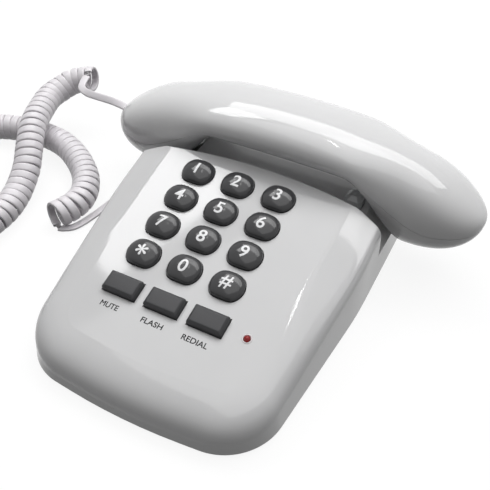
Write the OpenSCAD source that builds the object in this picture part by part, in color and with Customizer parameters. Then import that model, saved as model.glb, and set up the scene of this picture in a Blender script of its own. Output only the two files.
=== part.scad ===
// Corded desk telephone: a wedge base with a twelve-key pad, three function keys and a
// hook plunger, a handset that lies across the back of the base, and a curly cord.
// Millimetres, +Z up, +Y towards the back. The origin is on the ground under the middle.

/* [Base] */
// Width of the base at the cradle
base_w = 136; // [130:1:148]
// Width of the base across its front corners, before they are rounded
base_front_w = 119; // [110:1:124]
// Depth of the base, front to back
base_d = 177; // [172:1:190]
// Plan radius of the front corners
front_corner_r = 28; // [22:1:36]
// Plan radius of the back corners
back_corner_r = 12; // [10:1:20]
// Height of the key deck at the middle of the base
deck_h = 35.2; // [34:0.2:39]
// Slope of the key deck, rising to the back
deck_slope = 12.1; // [10:0.1:13]
// Wall of the base mouldings
base_wall = 2.4; // [2:0.1:3]
// Width of the bevel along each side of the deck
bevel_w = 18; // [14:0.5:19]
// Fall of the side bevel at its outer edge
bevel_drop = 5.6; // [4:0.1:7]

// Sideways place of the middle of the base under the handset
base_x = -6; // [-6:0.5:0]

/* [Cradle] */
// Distance of the deck's back edge behind the middle of the key pad
cradle_y = 42.5; // [41.5:0.5:43.5]
// Height of the bridge between the two wells
bridge_h = 33; // [30:0.5:35]
// Half the length of the bridge
bridge_half = 49; // [46:0.5:50]
// Thickness of the low wall behind the handset
rear_rim = 2.5; // [2.5:0.1:4]
// Height of the low wall behind the handset
rear_rim_h = 36.5; // [35:0.5:40]

/* [Keys] */
// Distance between key columns
key_pitch_x = 22; // [21:0.1:23]
// Distance between key rows, along the deck
key_pitch_y = 17.6; // [17:0.1:18.5]
// Sideways place of the middle key column
keypad_x = -11.5; // [-12.5:0.5:-8]
// Distance of the key pad's middle behind the middle of the base
keypad_y = 1.5; // [0:0.5:2]
// Width of a digit key
key_w = 16.6; // [14:0.1:17.5]
// Depth of a digit key between its two flats
key_d = 13.8; // [12:0.1:14.5]
// Height of a digit key's dome above the deck
key_h = 4.4; // [3.5:0.1:5.5]
// Radius of the key dome
key_dome_r = 15; // [13:0.5:20]
// Width of a function key
fkey_w = 17; // [14:0.1:18]
// Depth of a function key
fkey_d = 9.8; // [8:0.1:11]
// Height of a function key above the deck
fkey_h = 3.4; // [2.5:0.1:4]
// Distance of the function keys in front of the middle of the key pad
fkey_v = 45.3; // [44:0.1:47]
// Travel of every key
key_travel = 1.5; // [1:0.1:2]
// Gap round each key in its opening
key_gap = 0.35; // [0.3:0.05:0.5]
// Diameter of the indicator lamp
lamp_d = 3; // [2.5:0.1:4]
// Thickness of the circuit boards
board_t = 1.6; // [1.2:0.1:2]

/* [Handset] */
// Length of the handset
handset_l = 205; // [200:1:212]
// Width of the handset at the middle of its handle
handset_w = 44.6; // [42:0.2:45]
// Height of the handset's back over the ground, in the cradle
handset_top = 68.4; // [66:0.2:74]
// Height of the handle's underside over the ground, in the cradle
handle_under = 45.6; // [44:0.2:47]
// Wall of the handset mouldings
handset_wall = 2.2; // [1.8:0.1:2.6]
// Diameter of the receiver capsule
receiver_d = 28; // [24:0.5:30]
// Height of the receiver capsule
receiver_h = 9; // [7:0.5:11]

/* [Hook plunger] */
// Sideways place of the hook plunger
plunger_x = 41; // [40:0.5:43]
// Distance of the plunger behind the middle of the key pad
plunger_y = 52; // [51:0.5:54]
// Width across the plunger
plunger_w = 9; // [8:0.1:10]
// Travel of the plunger
hook_travel = 4; // [3:0.1:4.5]

/* [Cord] */
// Outer diameter of the curly cord's coil
coil_d = 15.4; // [14:0.1:16]
// Number of curls
curls = 88; // [60:1:90]
// Width of the flat cord
cord_w = 2.6; // [2.2:0.1:2.8]
// Thickness of the flat cord
cord_t = 2.2; // [1.8:0.1:2.4]

/* [Hidden] */
$fn = 40;

// Clearances: between faces that meet, and between a part and its pocket
seat = 0.3;
slip = 0.15;

// How far pieces of one solid run into each other, how far a cut runs past, and how far is away
join = 0.2;
past = 1;
far = 200;

// Sides of the round holes and bosses in the three large mouldings, of their small sound holes,
// and of the long curve of the cradle
shell_sides = 20;
hole_sides = 8;
cradle_sides = 120;

// ---- Shared functions

function smooth(t) = let (u = min(1, max(0, t))) u * u * (3 - 2 * u);
function mix(a, b, t) = a + (b - a) * t;
function unit(v) = v / norm(v);
function flat(list) = [for (part = list) each part];

// Rounds the corner q of a loop that turns left: points with their outward normals
function corner(p, q, s, r, steps) =
    let (u = unit(p - q), v = unit(s - q), half = acos(u * v) / 2)
    let (c = q + unit(u + v) * r / sin(half), start = q + u * r / tan(half) - c)
    let (a0 = atan2(start.y, start.x), turn = 180 - 2 * half)
    [for (i = [0:steps]) let (a = a0 + turn * i / steps, d = [cos(a), sin(a)]) [c + r * d, d]];

// Adds points along the straight runs of a loop that are longer than a step
function filled(loop, step) = [
    for (i = [0:len(loop) - 1])
        let (a = loop[i], b = loop[(i + 1) % len(loop)], n = ceil(norm(b[0] - a[0]) / step))
        for (k = [0:n - 1]) [mix(a[0], b[0], k / n), mix(a[1], b[1], k / n)]
];

// A solid through rings of points, each ring turning left as seen from the last one
module skin(rings) {
    n = len(rings[0]);
    m = len(rings);
    sides = [
        for (j = [0:m - 2], i = [0:n - 1])
            let (a = j * n + i, b = j * n + (i + 1) % n)
            each [[a, a + n, b + n], [a, b + n, b]]
    ];
    ends = [[for (i = [0:n - 1]) i], [for (i = [n - 1:-1:0]) (m - 1) * n + i]];
    polyhedron(points = flat(rings), faces = concat(sides, ends));
}

// ---- Base body

foot_h = 2;
foot_d = 12;
loop_step = 20;
shell_foot = foot_h;
deck_tan = tan(deck_slope);
front_sweep = 5.3;
front_bow_r = 300;
side_bend_y = 10;
side_bend_r = 250;
front_y = -base_d / 2;
bow_y = front_y - front_bow_r * (1 / cos(front_sweep) - 1);
front_half = base_front_w / 2;
front_corner_y = bow_y + tan(front_sweep) * front_half;
base_points = [
    [-front_half, front_corner_y], [0, bow_y], [front_half, front_corner_y], [base_w / 2, side_bend_y],
    [base_w / 2, base_d / 2], [-base_w / 2, base_d / 2], [-base_w / 2, side_bend_y]
];
base_radii = [front_corner_r, front_bow_r, front_corner_r, side_bend_r, back_corner_r, back_corner_r,
    side_bend_r];
base_steps = [8, 3, 8, 2, 4, 4, 2];
base_corners = flat([
    for (i = [0:6])
        let (p = base_points[(i + 6) % 7], q = base_points[i], s = base_points[(i + 1) % 7])
        corner(p, q, s, base_radii[i], base_steps[i])
]);
base_loop = filled([for (o = base_corners) [o[0] + [base_x, 0], o[1]]], loop_step);

// How far in and how far down each ring of the roll lies: over the front, and over the side bevel
roll_w = 18;
front_roll = [[0.9, 11], [1.3, 8], [2.6, 5.2], [4.8, 3], [8, 1.4], [12.5, 0.4], [roll_w, 0]];
side_roll = [
    [0.9, bevel_drop + 7], [1.2, bevel_drop + 3.2], [2.4, bevel_drop + 1], [4.8, bevel_drop * 0.86],
    [bevel_w - 2, bevel_drop * 0.14], [bevel_w - 0.2, 0.2], [bevel_w + 1.4, 0]
];
roll_steps = [0:6];
inner_steps = [0, 2, 4];
bevel_from = -46;
bevel_full = 6;
back_roll = (back_corner_r - base_wall - 1) / roll_w;
back_roll_from = 8;
back_roll_over = 22;
inner_lift = 12;

function deck_z(y) = deck_h + y * deck_tan;
function bevel_share(o) = o[1].x * o[1].x * smooth((o[0].y - bevel_from) / (bevel_full - bevel_from));
function roll_share(o) =
    mix(1, min(back_roll, 1), smooth((o[0].y - cradle_y + back_roll_from) / back_roll_over));
function base_point(o, in, down) = let (p = o[0] - in * o[1]) [p.x, p.y, deck_z(p.y) - down];
function base_ring(k, wall) = [
    for (o = base_loop)
        let (s = mix(front_roll[k], side_roll[k], bevel_share(o)))
        base_point(o, s.x * roll_share(o) + wall, s.y + wall)
];
function base_level(z, in) = [for (o = base_loop) let (p = o[0] - in * o[1]) [p.x, p.y, z]];
function base_rings(z, wall, steps) = concat([base_level(z, wall)], [for (k = steps) base_ring(k, wall)]);

module base_outline(in) {
    polygon([for (o = base_loop) o[0] - in * o[1]]);
}

// ---- Handset form

handset_y = 63.5;
nose_z = 37.5;
nose_share = 0.8;
handset_half = handset_l / 2;
handset_fall = 22.5;
handset_arch = 2.3;
cup_depth = 28.5;
cup_from = 0.34;
cup_full = 0.67;
under_taper = 0.22;
end_from = 0.66;
end_taper = 0.6;
end_round = 2.4;
end_least = 0.02;
end_wall = 1.2;
section_n = 2.35;
least = 0.05;
parting_rise = 9;
parting_end_z = 34;
parting_from = 0.3;
parting_over = 0.5;
outer_form = [12, 28];
inner_form = [8, 20];

function handset_back(u) = handset_top - handset_fall * pow(abs(u), handset_arch);
function cup_share(u) = smooth((abs(u) - cup_from) / (cup_full - cup_from));
function handset_under(u) = handle_under - cup_depth * cup_share(u);
function under_width(u, rise) = 1 - under_taper * (1 - cup_share(u)) * max(0, -rise);
function parting_z(u) =
    mix(handle_under + parting_rise, parting_end_z, smooth((abs(u) - parting_from) / parting_over));
function end_size(u) =
    let (e = max(0, abs(u) - end_from) / (1 - end_from))
    sqrt(max(pow(end_least, 2), 1 - pow(e, end_round)));
function powered(v, p) = sign(v) * pow(abs(v), p);

// The ring of points round the handset at the share u of its half length, inside a wall
function handset_ring(u, sides, wall) =
    let (k = end_size(u), top = handset_back(u), under = handset_under(u))
    let (middle = mix((top + under) / 2, nose_z, nose_share * (1 - k)))
    let (half_h = max(least, k * (top - under) / 2 - wall))
    let (half_w = max(least, k * (handset_w - end_taper * u * u) / 2 - wall))
    [for (i = [0:sides - 1]) let (a = 360 * i / sides)
        [u * handset_half, handset_y + half_w * under_width(u, sin(a)) * powered(cos(a), 2 / section_n),
            middle + half_h * powered(sin(a), 2 / section_n)]];

// Stations along the handset, close together at its two ends
function stations(steps) = [for (i = [-steps:steps]) sin(90 * i / steps)];

module handset_form(wall, count) {
    reach = 1 - end_wall * wall / handset_half;
    skin([for (u = stations(count[0])) handset_ring(u * reach, count[1], wall)]);
}

// Everything above the parting line of the two handset mouldings
module above_parting() {
    strips = 12;
    reach = handset_half + past;
    for (i = [-strips:strips - 1])
        let (a = i / strips, b = (i + 1) / strips, xa = a * reach, xb = b * reach)
        translate([0, far, 0])
            hull()
                rotate([90, 0, 0])
                    linear_extrude(height = 2 * far)
                        polygon([[xa, parting_z(a)], [xb, parting_z(b)], [xb, far], [xa, far]]);
}

// ---- Cradle

cradle_r = 283;
cradle_end = base_d / 2 - rear_rim;
well_from = 0.585;
well_points = 6;

// Points along the handset's underside between two shares of its half length, above a clearance
function under_line(from, to, count, gap) = [
    for (i = [0:count]) let (u = mix(from, to, i / count)) [u * handset_half, handset_under(u) - gap]
];
saddle = concat([[bridge_half, bridge_h]], under_line(well_from, cup_full, well_points, seat));

// How far back the front wall of the cradle lies at the sideways place x
function deck_edge(x) = cradle_y - cradle_r + sqrt(pow(cradle_r, 2) - pow(x - base_x, 2));

// The space above the handset's own form, which the base stays clear of wherever its cups lie
module cup_space(side, wall) {
    line = under_line(cup_from, cup_full, 2 * well_points, seat / 2);
    end_x = far / 2 - past;
    polygon(concat(
        [for (p = line) [side * p.x, p.y - wall]],
        [[side * end_x, line[len(line) - 1].y - wall], [side * end_x, far - past]],
        [[side * line[0].x, far - past]]
    ));
}

// The space that the cradle cuts out of the base, grown by a wall
module cradle_space(wall) {
    profile = concat(
        [for (p = saddle) [p.x, p.y - wall]],
        [[far / 2, saddle[len(saddle) - 1].y - wall], [far / 2, far], [-far / 2, far],
            [-far / 2, saddle[len(saddle) - 1].y - wall]],
        [for (i = [len(saddle) - 1:-1:0]) [-saddle[i].x, saddle[i].y - wall]]
    );
    difference() {
        translate([0, cradle_end + wall, 0])
            rotate([90, 0, 0])
                linear_extrude(height = far / 2) {
                    polygon(profile);
                    cup_space(-1, wall);
                    cup_space(1, wall);
                }
        translate([base_x, cradle_y - cradle_r, -past])
            cylinder(r = cradle_r - wall, h = 2 * far, $fn = cradle_sides);
    }
    translate([-far / 2, cradle_end - past, rear_rim_h - wall])
        cube([far, far, far]);
}

// The outside of the base, and the same form drawn in by part of the wall
module solid_base() {
    difference() {
        skin(base_rings(shell_foot, 0, roll_steps));
        cradle_space(0);
    }
}

module inner_base(wall) {
    difference() {
        skin(concat(
            base_rings(-past, wall, inner_steps),
            [[for (p = base_ring(max(inner_steps), wall)) p + [0, 0, inner_lift]]]
        ));
        cradle_space(wall);
        on_deck()
            translate([-far, -far, -wall])
                cube(2 * far);
    }
}

// ---- Places on the deck

fkey_shift = 0.8;
lamp_u = 41.6;
lamp_v = -45.8;
key_places = [for (row = [0:3], col = [0:2]) [(col - 1) * key_pitch_x, (1.5 - row) * key_pitch_y]];
fkey_places = [for (col = [-1:1]) [col * key_pitch_x + fkey_shift, -fkey_v]];

// Heights along the deck's normal
flange_t = 1.2;
flange_lip = 1;
flange_top = -base_wall - seat;
flange_under = flange_top - flange_t;
pad_top = flange_under - seat;
pad_core = 2.3;
membrane_t = 1;
board_top = pad_top - pad_core - key_travel;
board_under = board_top - board_t;

module on_deck() {
    translate([keypad_x, keypad_y, deck_z(keypad_y)])
        rotate([deck_slope, 0, 0])
            children();
}

module key_outline(grow) {
    intersection() {
        circle(d = key_w + 2 * grow);
        square([key_w + 2 * grow, key_d + 2 * grow], center = true);
    }
}

module fkey_outline(grow) {
    square([fkey_w + 2 * grow, fkey_d + 2 * grow], center = true);
}

// ---- Screws

screw_d = 3;
screw_head_d = 5.6;
screw_head_h = 2;
small_screw_d = 2.6;
small_head_d = 5;
small_head_h = 1.6;
thread_gap = 0.05;
shank_gap = 0.2;
head_gap = 0.3;
tip_gap = 0.5;
drive_share = 0.45;
drive_depth = 0.6;

// A screw with its head's seat at z = 0, pointing up
module screw(d, head_d, head_h, length) {
    difference() {
        union() {
            translate([0, 0, -head_h])
                cylinder(d = head_d, h = head_h);
            translate([0, 0, -head_h / 2])
                cylinder(d = d, h = length + head_h / 2);
        }
        translate([0, 0, -head_h - past])
            cylinder(d = head_d * drive_share, h = head_h * drive_depth + past, $fn = 6);
    }
}

floor_t = 2.4;
floor_top = shell_foot + floor_t;
boss_d = 7.4;
small_boss_d = 5.8;
foot_boss_d = 9.4;
boss_split = 9;
gusset_t = 1.2;
gusset_reach = 3;
gusset_from = 6;
gusset_rise = 8;
screw_seat = floor_top + join;
screw_length = 11;

// Feet: distances of their middles from the base's sides and from its back or front
back_foot_in = [11, 14.5];
front_foot_in = [13.5, 30.5];
back_foot_x = base_w / 2 - back_foot_in.x;
front_foot_x = base_front_w / 2 - front_foot_in.x;
back_foot_y = base_d / 2 - back_foot_in.y;
front_foot_y = front_y + front_foot_in.y;
foot_places = [
    [base_x - back_foot_x, back_foot_y], [base_x + back_foot_x, back_foot_y],
    [base_x - front_foot_x, front_foot_y], [base_x + front_foot_x, front_foot_y]
];

// Screws that hold the two base mouldings: the front pair ahead of the board, the back pair
// beside the feet
front_screw_x = 28;
front_screw_v = 63.5;
left_screw_in = 23;
right_screw_in = 13;
back_screw_in = 12.5;
back_screw_y = base_d / 2 - back_screw_in;
right_screw_x = base_x + back_foot_x - right_screw_in;
base_screw_places = [
    [base_x - front_screw_x, keypad_y - front_screw_v], [base_x + front_screw_x, keypad_y - front_screw_v],
    [base_x - back_foot_x + left_screw_in, back_screw_y], [right_screw_x, back_screw_y]
];
board_from = [-42, -57];
board_to = [47, 31];
board_screw_places = [[-38, 27], [43, 27], [-38, -53], [43, -53]];
board_screw_length = 5;

// ---- Hook plunger and its switch

plunger_top = handset_under((plunger_x + plunger_w / 2) / handset_half) - seat;
plunger_rail_under = bridge_h - base_wall;
collar_t = 2;
collar_lip = 1.6;
collar_top = plunger_rail_under - hook_travel - seat;
collar_under = collar_top - collar_t;
hook_board_z = 9;
hook_board_top = hook_board_z + board_t;
hook_board_size = [38, 20];
hook_board_x = 33;
switch_x = 24;
switch_size = [6, 12.8, 6.6];
switch_button_w = 2.4;
switch_button_h = 1.6;
arm_w = 5;
arm_past = 2;
prod_w = 3;
prod_under = hook_board_top + switch_size.z + switch_button_h + seat;
spring_d = 7.6;
spring_wire = 0.9;
stem_d = 5;
stem_h = 5;
plunger_corner = 1.16;

// ---- Sockets and plugs

line_jack_in = 12;
line_jack_x = right_screw_x - line_jack_in;
line_jack_size = [13.2, 14, 11.8];
line_hole = [9.8, 11, 6.8];
jack_size = [12.6, 11.2, 10.4];
jack_hole = [11, 7.9, 6.8];
plug_size = [12, 7.6, 6.5];
latch = [9, 2.4, 0.9];
latch_from = 1;
contact = [4, 0.6, 1];
contact_pitch = 1.3;
contacts = 4;
function contact_y(i) = (i - (contacts - 1) / 2) * contact_pitch;
jack_sunk = 2.8;
line_jack_z = floor_top + line_jack_size.z / 2;
base_jack_z = floor_top + jack_size.z / 2;
base_jack_x = base_x - base_w / 2 + base_wall + jack_sunk;
base_jack_y = deck_edge(base_jack_x) - base_wall - seat - jack_size.y / 2;
handset_jack_in = 7.5;
handset_jack_x = handset_jack_in - handset_half;
handset_jack_z = 36;
plug_proud = 3;

// A modular socket that opens towards -X, with its mouth at the origin
module jack() {
    difference() {
        translate([0, -jack_size.y / 2, -jack_size.z / 2])
            cube(jack_size);
        translate([-past, -jack_hole.y / 2, -jack_hole.z / 2])
            cube([jack_hole.x + past, jack_hole.y, jack_hole.z]);
    }
}

// The way through a moulding to a socket that it stands behind
module plug_way(reach) {
    way = [reach, jack_hole.y + 2 * slip, jack_hole.z + 2 * slip];
    translate([past - way.x, -way.y / 2, -way.z / 2])
        cube(way);
}

// The clear plug that fits it, with its latch underneath and its contacts in grooves on top
module plug() {
    translate([-plug_proud, 0, 0]) {
        difference() {
            translate([0, -plug_size.y / 2, -plug_size.z / 2 + latch.z])
                cube([plug_size.x, plug_size.y, plug_size.z - latch.z]);
            for (i = [0:contacts - 1])
                translate([plug_size.x - contact.x, contact_y(i), plug_size.z / 2 - contact.z])
                    translate([0, -contact.y / 2, 0])
                        cube([contact.x + past, contact.y, contact.z + past]);
        }
        translate([latch_from, -latch.y / 2, -plug_size.z / 2])
            cube([latch.x, latch.y, latch.z + join]);
    }
}

// ---- Base mouldings

module boss_gussets() {
    for (a = [0:90:270])
        rotate([0, 0, a])
            hull() {
                translate([0, -gusset_t / 2, gusset_from])
                    cube([boss_d / 2, gusset_t, far / 4]);
                translate([0, -gusset_t / 2, gusset_from + gusset_rise])
                    cube([boss_d / 2 + gusset_reach, gusset_t, far / 4]);
            }
}

module base_bosses() {
    intersection() {
        inner_base(base_wall / 2);
        union() {
            for (p = base_screw_places)
                translate([p.x, p.y, boss_split]) {
                    cylinder(d = boss_d, h = far / 4);
                    boss_gussets();
                }
            on_deck()
                for (p = board_screw_places)
                    translate([p.x, p.y, board_top])
                        cylinder(d = small_boss_d, h = far / 4);
        }
    }
}

module base_top_shell() {
    $fn = shell_sides;
    color("whitesmoke")
    difference() {
        union() {
            difference() {
                solid_base();
                inner_base(base_wall);
            }
            base_bosses();
        }
        on_deck() {
            for (p = key_places)
                translate([p.x, p.y, -base_wall - past])
                    linear_extrude(height = base_wall + 2 * past)
                        key_outline(key_gap);
            for (p = fkey_places)
                translate([p.x, p.y, -base_wall - past])
                    linear_extrude(height = base_wall + 2 * past)
                        fkey_outline(key_gap);
            translate([lamp_u, lamp_v, -base_wall - past])
                cylinder(d = lamp_d + 2 * slip, h = base_wall + 2 * past);
            for (p = board_screw_places)
                translate([p.x, p.y, board_top - past])
                    cylinder(d = small_screw_d + 2 * thread_gap, h = board_screw_length + past);
        }
        for (p = base_screw_places)
            translate([p.x, p.y, screw_seat])
                cylinder(d = screw_d + 2 * thread_gap, h = screw_length + past);
        translate([plunger_x, plunger_y, bridge_h])
            cube([plunger_w + 2 * seat, plunger_w + 2 * seat, 2 * base_wall + 2 * past], center = true);
        translate([line_jack_x, base_d / 2, line_jack_z])
            cube([line_hole.x, 4 * base_wall, line_hole.z], center = true);
        translate([base_jack_x, base_jack_y, base_jack_z])
            plug_way(far / 4);
    }
}

foot_sunk = 0.8;
ringer_place = [-22, -6];
ringer_d = 27;
ringer_h = 7;
ringer_proud = 2;
ringer_rim = 2.5;
ringer_dish = 0.6;
sound_ring = 7;
sound_d = 2;
rim_h = 3;
tray_draft = 1.4;
rim_t = 1.8;
hook_post_places = [[16.5, 59.5], [49.5, 59.5]];

module base_bottom_shell() {
    tray_in = base_wall + seat + tray_draft;
    color("gainsboro")
    difference() {
        union() {
            translate([0, 0, shell_foot])
                linear_extrude(height = floor_t)
                    base_outline(tray_in);
            translate([0, 0, floor_top])
                linear_extrude(height = rim_h)
                    difference() {
                        base_outline(tray_in + tray_draft);
                        base_outline(tray_in + tray_draft + rim_t);
                    }
            for (p = base_screw_places)
                translate([p.x, p.y, shell_foot])
                    cylinder(d = foot_boss_d, h = boss_split - shell_foot);
            for (p = hook_post_places)
                translate([p.x, p.y, shell_foot])
                    cylinder(d = small_boss_d, h = hook_board_z - shell_foot);
            translate([ringer_place.x, ringer_place.y, floor_top - past])
                difference() {
                    cylinder(d = ringer_d + 2 * seat + 2 * rim_t, h = ringer_h - ringer_proud + past);
                    cylinder(d = ringer_d + 2 * seat, h = ringer_h + 2 * past);
                }
        }
        for (p = base_screw_places)
            translate([p.x, p.y, 0]) {
                cylinder(d = screw_d + 2 * shank_gap, h = far / 4);
                cylinder(d = screw_head_d + 2 * head_gap, h = screw_seat);
            }
        for (p = hook_post_places)
            translate([p.x, p.y, floor_top])
                cylinder(d = small_screw_d + 2 * thread_gap, h = far / 4);
        for (p = foot_places)
            translate([p.x, p.y, 0])
                cylinder(d = foot_d + 2 * slip, h = shell_foot + foot_sunk);
        for (a = [0:60:300])
            translate([ringer_place.x + sound_ring * cos(a), ringer_place.y + sound_ring * sin(a), 0])
                cylinder(d = sound_d, h = floor_top + past);
        translate([line_jack_x - line_jack_size.x / 2 - slip, base_d / 2 - tray_in - 3 * rim_t, floor_top])
            cube([line_jack_size.x + 2 * slip, far, far]);
        translate([-base_w, base_jack_y - jack_size.y / 2 - slip, floor_top])
            cube([base_w + base_jack_x + jack_size.x + past, jack_size.y + 2 * slip, far]);
    }
}

module rubber_feet() {
    color("dimgray")
    for (p = foot_places)
        translate([p.x, p.y, 0])
            cylinder(d = foot_d, h = shell_foot + foot_sunk);
}

module base_screws() {
    color("silver")
    for (p = base_screw_places)
        translate([p.x, p.y, screw_seat])
            screw(screw_d, screw_head_d, screw_head_h, screw_length);
}

// ---- Keys

module digit_key(place) {
    color("dimgray")
    on_deck()
        translate([place.x, place.y, 0]) {
            intersection() {
                translate([0, 0, flange_top - join])
                    linear_extrude(height = key_h - flange_top + past)
                        key_outline(0);
                translate([0, 0, key_h - key_dome_r])
                    sphere(key_dome_r);
            }
            translate([0, 0, flange_under])
                linear_extrude(height = flange_t)
                    key_outline(flange_lip);
        }
}

module function_key(place) {
    edge = 1.3;
    color("dimgray")
    on_deck()
        translate([place.x, place.y, 0]) {
            hull() {
                translate([0, 0, flange_top - join])
                    linear_extrude(height = fkey_h - edge - flange_top + join)
                        fkey_outline(0);
                translate([0, 0, fkey_h - edge])
                    linear_extrude(height = edge)
                        fkey_outline(-edge);
            }
            translate([0, 0, flange_under])
                linear_extrude(height = flange_t)
                    fkey_outline(flange_lip);
        }
}

module key_1() { digit_key(key_places[0]); }
module key_2() { digit_key(key_places[1]); }
module key_3() { digit_key(key_places[2]); }
module key_4() { digit_key(key_places[3]); }
module key_5() { digit_key(key_places[4]); }
module key_6() { digit_key(key_places[5]); }
module key_7() { digit_key(key_places[6]); }
module key_8() { digit_key(key_places[7]); }
module key_9() { digit_key(key_places[8]); }
module key_star() { digit_key(key_places[9]); }
module key_0() { digit_key(key_places[10]); }
module key_hash() { digit_key(key_places[11]); }
module key_mute() { function_key(fkey_places[0]); }
module key_flash() { function_key(fkey_places[1]); }
module key_redial() { function_key(fkey_places[2]); }

// ---- Key mat and circuit boards

pad_d = 9;
membrane_from = [-34, -52];
membrane_to = [34, 31];

module key_membrane() {
    color("lightslategray")
    on_deck() {
        translate([membrane_from.x, membrane_from.y, board_top])
            cube([membrane_to.x - membrane_from.x, membrane_to.y - membrane_from.y, membrane_t]);
        for (p = concat(key_places, fkey_places))
            translate([p.x, p.y, board_top])
                cylinder(d = pad_d, h = pad_top - board_top);
    }
}

module main_board() {
    color("seagreen")
    on_deck()
        difference() {
            translate([board_from.x, board_from.y, board_under])
                cube([board_to.x - board_from.x, board_to.y - board_from.y, board_t]);
            for (p = board_screw_places)
                translate([p.x, p.y, board_under - past])
                    cylinder(d = small_screw_d + 2 * shank_gap, h = board_t + 2 * past);
        }
}

// What hangs under the main board: places on it, and sizes
chip_at = [8, -6];
chip_size = [22, 7.6, 3.4];
capacitor_places = [[-26, 14], [-26, 4], [22, 20]];
capacitor_d = 6.3;
capacitor_h = 9;
transformer_at = [-12, 14];
transformer_size = [12.7, 10, 9];
bridge_at = [24, -30];
bridge_size = [7, 5, 2.6];
crystal_at = [-6, -30];
crystal_size = [9, 4, 3.5];

module under_board(place, size) {
    translate([place.x, place.y, board_under - size.z])
        cube(size);
}

module dialler_chip() {
    color("darkslategray")
    on_deck()
        under_board(chip_at, chip_size);
}

module board_components() {
    color("navy")
    on_deck() {
        for (p = capacitor_places)
            translate([p.x, p.y, board_under - capacitor_h])
                cylinder(d = capacitor_d, h = capacitor_h);
        under_board(transformer_at, transformer_size);
        under_board(bridge_at, bridge_size);
        under_board(crystal_at, crystal_size);
    }
}

module board_screws() {
    color("silver")
    on_deck()
        for (p = board_screw_places)
            translate([p.x, p.y, board_under])
                screw(small_screw_d, small_head_d, small_head_h, board_t + board_screw_length - tip_gap);
}

lamp_set = 2;
lamp_flange = 0.4;
lamp_flange_t = 1;
lamp_leg = 0.5;
lamp_leg_x = 0.87;

module ring_lamp() {
    lamp_base = -base_wall - lamp_set;
    color("red")
    on_deck()
        translate([lamp_u, lamp_v, 0]) {
            translate([0, 0, lamp_base])
                cylinder(d = lamp_d, h = -lamp_base);
            sphere(d = lamp_d);
            translate([0, 0, lamp_base])
                cylinder(d = lamp_d + 2 * lamp_flange, h = lamp_flange_t);
            for (side = [-1, 1])
                translate([side * lamp_leg_x - lamp_leg / 2, -lamp_leg / 2, board_top])
                    cube([lamp_leg, lamp_leg, lamp_base - board_top + lamp_leg]);
        }
}

// ---- Hook switch

module hook_plunger() {
    across = plunger_w * plunger_corner;
    color("lightcyan")
    translate([plunger_x, plunger_y, 0]) {
        translate([0, 0, collar_under])
            linear_extrude(height = plunger_top - collar_under)
                intersection() {
                    square(plunger_w, center = true);
                    rotate(45)
                        square(across, center = true);
                }
        translate([-plunger_w / 2 - collar_lip, -plunger_w / 2, collar_under])
            cube([plunger_w + 2 * collar_lip, plunger_w, collar_t]);
        translate([switch_x - plunger_x - arm_past, -arm_w / 2, collar_under])
            cube([plunger_x - switch_x, arm_w, collar_t]);
        translate([switch_x - plunger_x - prod_w / 2, -prod_w / 2, prod_under])
            cube([prod_w, prod_w, collar_under - prod_under + join]);
        translate([0, 0, collar_under - stem_h])
            cylinder(d = stem_d, h = stem_h + join);
    }
}

module hook_spring() {
    color("silver")
    translate([plunger_x, plunger_y, hook_board_top])
        difference() {
            cylinder(d = spring_d, h = collar_under - seat - hook_board_top);
            translate([0, 0, -past])
                cylinder(d = spring_d - 2 * spring_wire, h = far / 2);
        }
}

module hook_switch() {
    color("black")
    translate([switch_x, plunger_y, hook_board_top]) {
        translate([-switch_size.x / 2, -switch_size.y / 2, 0])
            cube(switch_size);
        translate([-switch_button_w / 2, -switch_button_w / 2, switch_size.z - join])
            cube([switch_button_w, switch_button_w, switch_button_h + join]);
    }
}

module hook_board() {
    color("seagreen")
    difference() {
        translate([hook_board_x, plunger_y, hook_board_z + board_t / 2])
            cube([hook_board_size.x, hook_board_size.y, board_t], center = true);
        for (p = hook_post_places)
            translate([p.x, p.y, 0])
                cylinder(d = small_screw_d + 2 * shank_gap, h = far / 4);
    }
}

module hook_board_screws() {
    color("silver")
    for (p = hook_post_places)
        translate([p.x, p.y, hook_board_top])
            rotate([180, 0, 0])
                screw(small_screw_d, small_head_d, small_head_h, hook_board_top - floor_top - tip_gap);
}

module ringer() {
    color("goldenrod")
    translate([ringer_place.x, ringer_place.y, floor_top])
        difference() {
            cylinder(d = ringer_d, h = ringer_h);
            translate([0, 0, ringer_h - ringer_dish])
                cylinder(d = ringer_d - 2 * ringer_rim, h = ringer_dish + past);
        }
}

// ---- Sockets in the base

module line_jack() {
    mouth_y = base_d / 2 - base_wall - seat;
    color("darkslategray")
    translate([line_jack_x, mouth_y - line_jack_size.y, floor_top])
        difference() {
            translate([-line_jack_size.x / 2, 0, 0])
                cube(line_jack_size);
            translate([0, line_jack_size.y + past, line_jack_size.z / 2])
                cube([line_hole.x, 2 * (line_hole.y + past), line_hole.z], center = true);
        }
}

module base_handset_jack() {
    color("darkslategray")
    translate([base_jack_x, base_jack_y, base_jack_z])
        jack();
}

module base_plug() {
    color("lightcyan")
    translate([base_jack_x, base_jack_y, base_jack_z])
        plug();
}

// ---- Handset

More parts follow.
